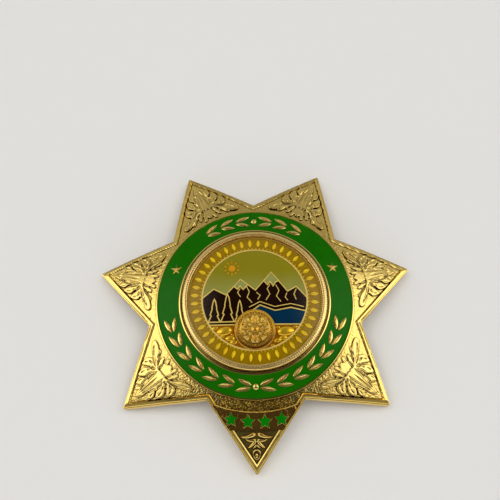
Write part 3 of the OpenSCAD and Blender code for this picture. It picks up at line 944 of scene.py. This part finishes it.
def fivePointed(name, operator, reach, waist=0.42, **settings):  # on a round primitive, left in edit mode
    piece = addPrimitive(name, operator, vertices=10, enter_editmode=True, **settings)

    def waistLies(at):
        steps = (math.degrees(math.atan2(at.y, at.x)) - 90) / (360 / 5)
        return math.hypot(at.x, at.y) > reach / 2 and abs(steps - round(steps)) > 0.25

    pickPoints(piece, waistLies)
    scaleBy(waist, waist, 1)
    return piece


def facetedStar(name, radius, height, foot):
    cone = bpy.ops.mesh.primitive_cone_add
    piece = fivePointed(name, cone, radius, radius1=radius, radius2=0, depth=height)
    pickFaces(piece, lambda at, normal: normal.z < -0.9)
    extrudeBy(0, 0, -foot)
    chooseAll()
    moveBy(0, 0, height / 2)
    leaveEdit()
    return piece


print("laurel")
makeLaurel()

# The bottom point: coarse grained band, arc line, polished panel with four green stars, V frame
bottomPoint = {
    "bandRadii": (23.0, 25.05),
    "bandSweep": 38.0,
    "pebbles": 420,
    "pebbleRadii": (0.15, 0.30),
    "pebbleHeight": 0.7,  # as a share of its radius
    "pebbleSink": 0.02,
    "pebbleSeed": 11,
    "arcRadius": 25.22,
    "arcWidth": 0.34,
    "arcSection": [  # (place across it as a share of its width, height)
        (-0.50, 1.80), (-0.50, 2.34), (-0.25, 2.54), (0.00, 2.62), (0.25, 2.60), (0.50, 2.50), (0.50, 1.80),
    ],
    "arcSweep": 42.0,
    "arcSteps": 48,
    "bottom": 1.7,
    "panelLevel": 2.51,
    "panelInset": 0.30,
    "panelEnd": 29.0,
    "panelTool": (1, 4),  # levels of the disc that trims it to the arc
    "panelCells": (24, 1.0, 0.5),  # cuts, and sizes across and along, so that it can bend to the dome
    "frameInset": 0.88,
    "frameLevel": 2.50,
    "frameCells": (7, 1.0),  # cuts and size along
    "frameSteps": [(0.03, 0.04), (0.05, 0.03), (0.08, 0.05), (0.09, -0.05), (0.05, -0.04), (0.04, -0.60)],
    "rowRadius": 27.3,
    "rowStep": 7.72,
    "rowStars": 4,
    "starRadius": 1.72,
    "starWaist": 0.50,
    "starBottom": 1.8,
    "starTop": 2.60,
    "starEdge": 0.11,
    "starChamfer": 0.04,
    "starDepth": 0.3,
    "enamelBottom": 2.0,
    "enamelTop": 2.56,
    "enamelCrown": (0.12, 0.03),  # width and rise of its rounded edge
}


def makeBand():  # coarse grains between the ring and the arc line
    sizes = bottomPoint
    chance = random.Random(sizes["pebbleSeed"])
    grain = addPrimitive("grain", bpy.ops.mesh.primitive_ico_sphere_add, subdivisions=1, radius=1)
    pebbles = []
    for _ in range(sizes["pebbles"]):
        radius = chance.uniform(*sizes["bandRadii"])
        angle = -90 + chance.uniform(-0.5, 0.5) * sizes["bandSweep"]
        size = chance.uniform(*sizes["pebbleRadii"])
        place = Matrix.Translation((*polar(radius, angle), star["fieldLevel"] + sizes["pebbleSink"]))
        turnBy = Matrix.Rotation(chance.uniform(0, math.pi), 4, (chance.random(), chance.random(), 1))
        shape = Matrix.Diagonal((size, size, size * sizes["pebbleHeight"], 1))
        pebble = copyPiece(grain, "pebble")
        pebble.data.transform(place @ shape @ turnBy)
        pebbles.append(pebble)
    bpy.data.objects.remove(grain)
    finishPiece(joinPieces("coarseBand", pebbles), [coarseGold], smooth=25)


def makeArc():
    sizes = bottomPoint
    radius, width, sweep = sizes["arcRadius"], sizes["arcWidth"], sizes["arcSweep"]
    section = [(radius + across * width, height) for across, height in sizes["arcSection"]]
    arc = turned("arcLine", section, sizes["arcSteps"], start=-90 - sweep / 2, sweep=sweep)
    finishPiece(arc, [polishedGold])


def makePanel():  # polished, between the arc and the frame
    sizes = bottomPoint
    panel = starOutline("polishedPanel", sizes["panelInset"], sizes["bottom"], sizes["panelLevel"])
    cutWith(panel, disc("panelTool", sizes["arcRadius"], *sizes["panelTool"]))
    editPiece(panel)
    cutAcross((0, -sizes["panelEnd"], 0), (0, -1, 0), trim=True)
    trimToPoint()
    count, across, along = sizes["panelCells"]
    for i in range(count):
        cutAcross(((i - count / 2) * across, 0, 0), (1, 0, 0))
        cutAcross((0, i * along - sizes["panelEnd"] - 1, 0), (0, 1, 0))
    leaveEdit()
    finishPiece(panel, [panelGold])


def makeFrame():  # round the bud
    sizes = bottomPoint
    border = starOutline("budFrame", sizes["frameInset"], sizes["bottom"], sizes["frameLevel"])
    editPiece(border)
    pickFaces(border, lambda at, normal: normal.z > 0.9)
    insetSteps(sizes["frameSteps"])
    cutAcross((0, -sizes["panelEnd"], 0), (0, 1, 0), trim=True)
    count, along = sizes["frameCells"]
    for i in range(1, count + 1):
        cutAcross((0, -sizes["panelEnd"] - i * along, 0), (0, 1, 0))
    leaveEdit()
    finishPiece(border, [polishedGold], smooth=25)


def rowSlab(name, radius, low, high):  # left in edit mode, with its top face selected
    circle = bpy.ops.mesh.primitive_circle_add
    piece = fivePointed(name, circle, radius, bottomPoint["starWaist"], radius=radius, fill_type="NGON")
    raiseShape(low, high)
    bpy.ops.mesh.select_mode(type="FACE")
    return piece


def makeRowStars():  # four upright stars with a gold edge round the enamel
    sizes = bottomPoint
    radius, edge, chamfer = sizes["starRadius"], sizes["starEdge"], sizes["starChamfer"]
    crown = sizes["enamelCrown"]
    edges = []
    for i in range(sizes["rowStars"]):
        angle = -90 + (i + 0.5 - sizes["rowStars"] / 2) * sizes["rowStep"]
        place = (*polar(sizes["rowRadius"], angle), 0)
        gold = rowSlab("rowStar", radius, sizes["starBottom"], sizes["starTop"] - chamfer)
        insetSteps([(chamfer, chamfer), (edge - 2 * chamfer, 0), (chamfer, -sizes["starDepth"])])
        leaveEdit()
        edges.append(placePiece(gold, place))
        number = str(i + 1)
        top = sizes["enamelTop"] - crown[1]
        fill = rowSlab("rowEnamel_" + number, radius - 2 * edge, sizes["enamelBottom"], top)
        insetSteps([crown])
        leaveEdit()
        placePiece(fill, place)
        finishPiece(fill, [brightGreenEnamel], ["point_enamel_" + number])
    finishPiece(joinPieces("rowStars", edges), [polishedGold])


# The bottom point's small scroll and bud. Its leaves are (start, end, width, bend in radians, height),
# with places as in the scroll work.
budWork = {
    "leaves": [
        ((29.5, 0.25), (30.2, 3.6), 1.0, 1.12, 0.52),
        ((30.9, 0.0), (30.6, 2.6), 0.85, 0.96, 0.46),
        ((31.0, 0.1), (32.6, 2.0), 0.95, 0.48, 0.52),
        ((31.8, 0.0), (32.7, 0.95), 0.6, 0.48, 0.44),
    ],
    "hoop": {"major_radius": 0.76, "minor_radius": 0.17, "major_segments": 40, "minor_segments": 12},
    "hoopPlace": (0, -33.85, 2.12),
    "hoopShape": (1, 1.25, 1.5),
    "seedRadius": 0.46,
    "seedPlace": (0, -34.10, 2.05),
    "seedShape": (0.85, 1.25, 0.8),
}


def makeBud():
    sizes = budWork
    pieces = []
    for side in (1, -1):
        for start, end, width, bend, height in sizes["leaves"]:
            places = [(side * across, -out) for out, across in (start, end)]
            pieces.append(layLeaf("tooth", *places, width, height, star["fieldLevel"], side * bend))
    leaves = joinPieces("budLeaves", pieces)
    applyModifier(leaves, "SUBSURF", levels=1, render_levels=1)
    hoop = addPrimitive("bud", bpy.ops.mesh.primitive_torus_add, **sizes["hoop"])
    placePiece(hoop, sizes["hoopPlace"], shape=sizes["hoopShape"])
    seed = addBall("bud", 24, 12, sizes["seedRadius"])
    placePiece(seed, sizes["seedPlace"], shape=sizes["seedShape"])
    finishPiece(joinPieces("budLeaves", [leaves, hoop, seed]), [reliefGold], smooth=50)


print("bottom point")
makeBand()
makeArc()
makePanel()
makeFrame()
makeRowStars()
makeBud()

# The seal: milled edge and resin; its lines and enamels are the CAD nodes
seal = {
    "ropeCrown": [  # its edge as (radius, height), from its outer wall inwards
        (16.63, 3.12), (16.59, 3.28), (16.50, 3.38), (16.36, 3.43), (16.20, 3.45), (16.02, 3.46), (15.84, 3.46),
        (15.68, 3.44), (15.56, 3.38), (15.49, 3.26), (15.47, 3.12),
    ],
    "ropeBottom": 2.0,
    "ridges": 190,
    "ridgeSteps": 4,  # of the lathe for each ridge
    "ridgeWidth": 1.5,  # in those steps
    "ridgeDepth": 0.022,
    "ridgeLean": 0.26,  # how far across the edge a ridge runs for each step round it
    "ridgeFoot": 3.3,
    "resinShoulder": (14.75, 3.12),  # where the resin's flat crown ends, and its level there
    "resinEdge": [(15.05, 3.06), (15.27, 2.95), (15.40, 2.80), (15.44, 2.66)],
    "resinMiddle": 3.60,
    "resinRings": 20,
    "resinBottom": 2.2,
    "resinSteps": 192,
}


def makeRope():
    sizes = seal
    crown, low = sizes["ropeCrown"], sizes["ropeBottom"]
    section = [(crown[0][0], low)] + crown + [(crown[-1][0], low)]
    steps = sizes["ridges"] * sizes["ridgeSteps"]
    rope = turned("ropeEdge", section, steps)
    editPiece(rope)

    def onRidge(at):  # diagonal ridges over the crown
        around = math.degrees(math.atan2(at.y, at.x)) / (360 / steps)
        across = (math.hypot(at.x, at.y) - crown[-1][0]) / sizes["ridgeLean"]
        return at.z > sizes["ridgeFoot"] and (around + across) % sizes["ridgeSteps"] < sizes["ridgeWidth"]

    pickPoints(rope, onRidge)
    bpy.ops.transform.shrink_fatten(value=sizes["ridgeDepth"])
    leaveEdit()
    finishPiece(rope, [sealGold])


def makeResin():
    sizes = seal
    (radius, edge), middle, rings = sizes["resinShoulder"], sizes["resinMiddle"], sizes["resinRings"]
    top = [(radius * i / rings, middle - (middle - edge) * (i / rings) ** 2) for i in range(rings + 1)]
    bottom = sizes["resinBottom"]
    section = top + sizes["resinEdge"] + [(sizes["resinEdge"][-1][0], bottom), (0.0, bottom)]
    dome = turned("resinDome", section, sizes["resinSteps"], closed=False)
    finishPiece(dome, [clearResin()], ["resin_dome"])


# The rosette at the foot of the picture: a turned medal with beads and petals
rosette = {
    "centreY": -7.4,
    "section": [
        (0.0, 3.12), (0.45, 3.09), (0.62, 2.98), (0.78, 3.02), (1.02, 3.06), (1.22, 3.03), (1.30, 2.84),
        (3.08, 2.84), (3.14, 3.02), (3.28, 3.10), (3.42, 3.10), (3.52, 3.02), (3.58, 2.84), (3.96, 2.84),
        (4.02, 3.02), (4.16, 3.12), (4.34, 3.12), (4.48, 3.04), (4.55, 2.90), (4.55, 2.30), (0.0, 2.30),
    ],
    "steps": 96,
    "beadRadius": 0.17,
    "beadHeight": 0.6,  # as a share of its radius
    "beads": [(36, 3.77, 2.88, 1.0), (10, 0.90, 3.06, 0.8)],  # count, radius of their circle, level, size
    "petals": 12,
    "leafLevel": 2.84,
    "petal": {"kind": "laurel", "from": 1.35, "width": 0.86, "height": 0.28},
    "tooth": {"kind": "tooth", "from": 1.90, "width": 0.40, "height": 0.18},  # between two petals
    "leafEnd": 3.10,
}


def beadCircle(bead, count, radius, level, shape=(1, 1, 1)):
    beads = []
    for i in range(count):
        place = (*polar(radius, 360 * i / count), level)
        beads.append(placePiece(copyPiece(bead, "bead"), place, shape=shape))
    return beads


def makeRosette():
    sizes = rosette
    pieces = [turned("rosette", sizes["section"], sizes["steps"], closed=False)]
    for i in range(2 * sizes["petals"]):
        leaf = sizes["petal"] if i % 2 == 0 else sizes["tooth"]
        angle = 180 * i / sizes["petals"]
        ends = polar(leaf["from"], angle), polar(sizes["leafEnd"], angle)
        pieces.append(layLeaf(leaf["kind"], *ends, leaf["width"], leaf["height"], sizes["leafLevel"]))
    bead = addBall("bead", 12, 8, sizes["beadRadius"])
    for count, radius, level, size in sizes["beads"]:
        pieces += beadCircle(bead, count, radius, level, (size, size, size * sizes["beadHeight"]))
    bpy.data.objects.remove(bead)
    medal = placePiece(joinPieces("rosetteMedal", pieces), (0, sizes["centreY"], 0))
    finishPiece(medal, [medalGold], smooth=40)


# Raised petals round the seal's band
bandSizes = {
    "petals": 44,
    "reach": (12.9, 14.75),
    "width": 0.92,
    "level": 2.44,
    "height": 0.2,
    "beads": 90,
    "beadCircle": 12.45,
    "beadRadius": 0.15,
    "beadLevel": 2.5,
}


def makeBandPetals():
    sizes = bandSizes
    near, far = sizes["reach"]
    pieces = []
    for i in range(sizes["petals"]):
        angle = 90 + (i + 0.5) * 360 / sizes["petals"]
        ends = polar(near, angle), polar(far, angle)
        pieces.append(layLeaf("laurel", *ends, sizes["width"], sizes["height"], sizes["level"]))
    bead = addBall("bead", 10, 6, sizes["beadRadius"])
    pieces += beadCircle(bead, sizes["beads"], sizes["beadCircle"], sizes["beadLevel"])
    bpy.data.objects.remove(bead)
    finishPiece(joinPieces("bandPetals", pieces), [petalGold], smooth=50)


# Low rounded clumps that cover the meadow on both sides of the rosette
meadow = {
    "tries": 3000,
    "radii": (0.35, 2.1),
    "flat": 0.55,  # breadth up the picture to breadth across it
    "height": 0.22,
    "sway": 0.4,  # how far a clump may turn, in radians
    "gap": 0.90,  # how near two clumps come, as a share of their radii together
    "spread": (12, 6),  # half the strip's width, and its upper edge below the middle
    "top": -6.45,
    "reach": 12.05,
    "margin": 0.8,  # how much of its radius a clump keeps inside the reach
    "rosetteRadius": 4.65,
    "level": 2.34,
    "seed": 4,
}


def makeMeadow():
    sizes = meadow
    chance = random.Random(sizes["seed"])
    clump = addBall("clump", 20, 10, 1)
    small, large = sizes["radii"]
    wide, top = sizes["spread"]
    flat, sway, margin = sizes["flat"], sizes["sway"], sizes["margin"]
    placed = []
    for i in range(sizes["tries"]):  # large ones first, then small ones in the gaps
        radius = large + (small - large) * i / sizes["tries"]
        x, y = chance.uniform(-wide, wide), chance.uniform(-wide, -top)
        toRosette = math.hypot(x, y - rosette["centreY"]) - radius
        inside = y + radius * flat < sizes["top"] and math.hypot(x, y) + radius * margin < sizes["reach"]
        if not inside or toRosette < sizes["rosetteRadius"]:
            continue
        apart = [math.hypot(x - a, (y - b) / flat) / (radius + r) for a, b, r in placed]
        if min(apart, default=math.inf) > sizes["gap"]:
            placed.append((x, y, radius))
    pieces = []
    for x, y, radius in placed:
        shape = (radius, radius * flat, radius * sizes["height"])
        turnBy = chance.uniform(-sway, sway)
        pieces.append(placePiece(copyPiece(clump, "clump"), (x, y, sizes["level"]), turnBy, shape))
    bpy.data.objects.remove(clump)
    finishPiece(joinPieces("meadowClumps", pieces), [meadowGold], smooth=50)


print("seal")
makeRope()
makeRosette()
makeMeadow()
makeBandPetals()
makeResin()

# The pin on the back: a wire between two feet, in one piece
pin = {
    "wireLength": 31.0,
    "wireRadius": 0.55,
    "wireHeight": 1.6,  # above the table
    "up": 7.0,  # from the star's middle towards the top
    "feet": [(-15.5, 5.0, 5.0), (15.5, 4.0, 4.4)],  # (place along the wire, length, breadth)
    "footBottom": 0.7,
    "footSink": 0.65,  # into the plate
    "bevel": 0.3,
}


def makePin():
    sizes = pin
    up, bottom = sizes["up"], sizes["footBottom"]
    cylinder, cube = bpy.ops.mesh.primitive_cylinder_add, bpy.ops.mesh.primitive_cube_add
    wire = addPrimitive("wire", cylinder, vertices=32, radius=sizes["wireRadius"], depth=sizes["wireLength"])
    wire.data.transform(Matrix.Rotation(math.pi / 2, 4, "Y"))
    parts = [placePiece(wire, (0, up, sizes["wireHeight"]))]
    for along, length, breadth in sizes["feet"]:
        top = rise(math.hypot(along, up)) + sizes["footSink"]
        foot = addPrimitive("foot", cube, size=1, enter_editmode=True)
        scaleBy(length, breadth, top - bottom)
        bpy.ops.mesh.bevel(offset=sizes["bevel"], segments=4, affect="EDGES")
        leaveEdit()
        parts.append(placePiece(foot, (along, up, (top + bottom) / 2)))
    finishPiece(joinPieces("backPin", parts), [satinBrass], ["back_pin"], onDome=False)


print("pin")
makePin()

nodeFinishes = {
    "seal_disc": lineGold,
    "band_enamel": amberEnamel,
    "sky_enamel": skyEnamel,
    "hill_enamel": darkEnamel,
    "snow_enamel": sageEnamel,
    "lake_enamel": blueEnamel,
    "meadow_enamel": meadowEnamel,
}
for node, material in nodeFinishes.items():
    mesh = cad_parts[node].data
    mesh.materials.clear()
    mesh.materials.append(material)

for pattern in patterns.values():
    bpy.data.objects.remove(pattern)

print("done")
